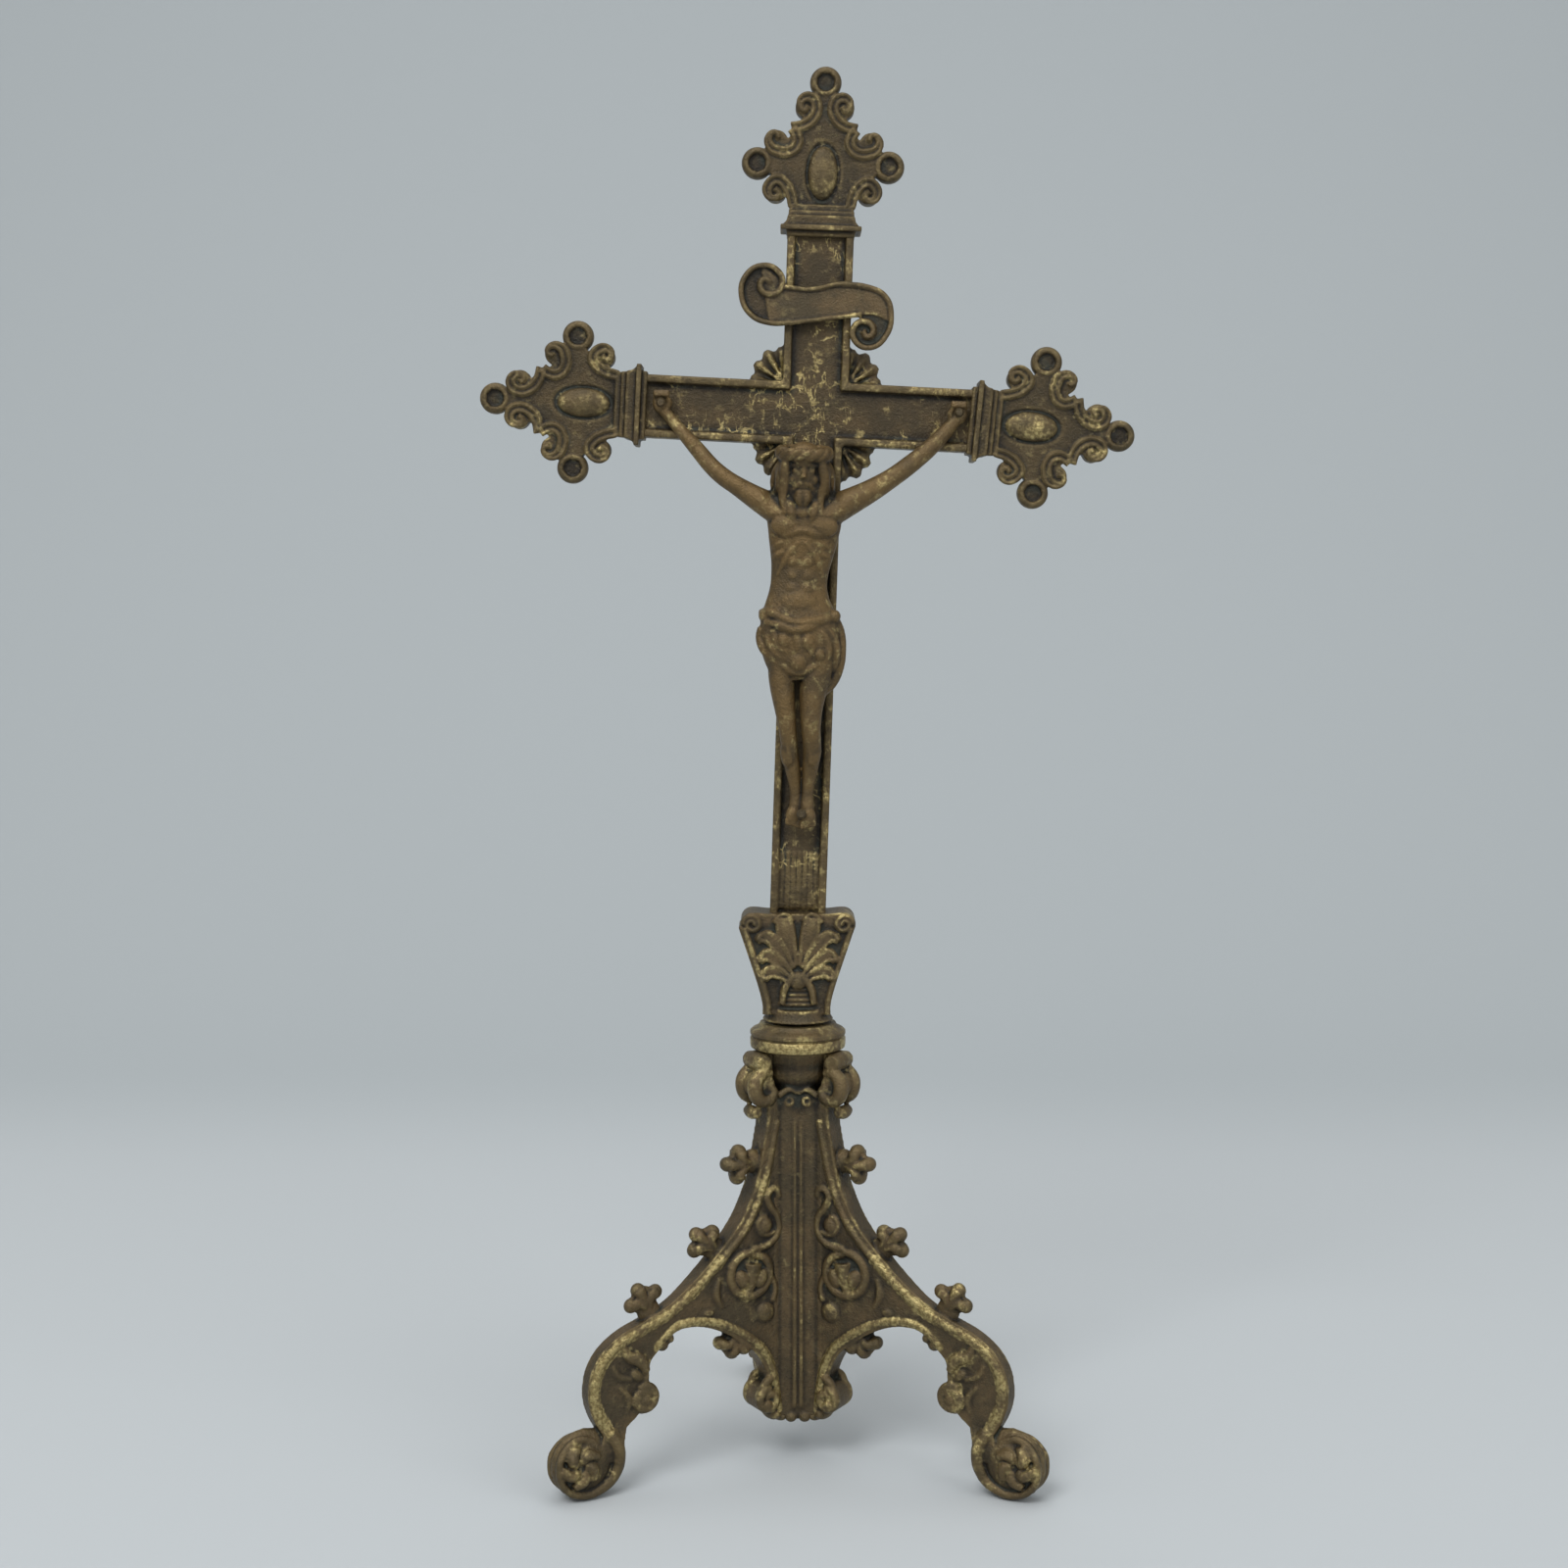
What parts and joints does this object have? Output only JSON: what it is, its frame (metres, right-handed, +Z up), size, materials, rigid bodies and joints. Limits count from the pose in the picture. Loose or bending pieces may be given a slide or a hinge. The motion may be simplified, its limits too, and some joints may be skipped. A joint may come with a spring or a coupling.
{
  "type": "standing altar crucifix",
  "caption": "Cast brass altar crucifix: a cross with cusped finials, title ribbon and nailed figure, set in a palmette socket on a base of scroll legs, turning on its tie rod.",
  "frame": {"origin": "on the tie rod's axis, in the plane of the three feet", "axes": "+Z up along the tie rod; the figure looks towards -Y; +X to the right of a viewer in front"},
  "size_m": [0.1721, 0.114, 0.3683],
  "materials": {
    "patinated_brass": "aged brown patina with worn golden edges",
    "figure_brass": "aged brown patina, rubbed brighter on the raised forms",
    "fastener_brass": "dull aged brass",
    "rod_steel": "dark oiled steel"
  },
  "bodies": {
    "base": {"base_post": "patinated_brass", "leg_left": "patinated_brass", "leg_right": "patinated_brass", "leg_rear": "patinated_brass", "leg_pins": "fastener_brass"},
    "cross_assembly": {"collar": "patinated_brass", "palmette_socket": "patinated_brass", "cross": "patinated_brass", "finial_top": "patinated_brass", "finial_left": "patinated_brass", "finial_right": "patinated_brass", "finial_pins": "fastener_brass", "titulus": "patinated_brass", "titulus_pins": "fastener_brass", "corpus": "figure_brass", "nail_left_hand": "fastener_brass", "nail_right_hand": "fastener_brass", "nail_feet": "fastener_brass", "tie_rod": "rod_steel", "base_washer": "fastener_brass", "base_nut": "fastener_brass"}
  },
  "joints": [
    {"name": "cross_swivel", "type": "hinge", "parent": "base", "child": "cross_assembly", "pos_m": [0, 0, 0.1116], "axis": [0, 0, 1], "continuous": true}
  ]
}
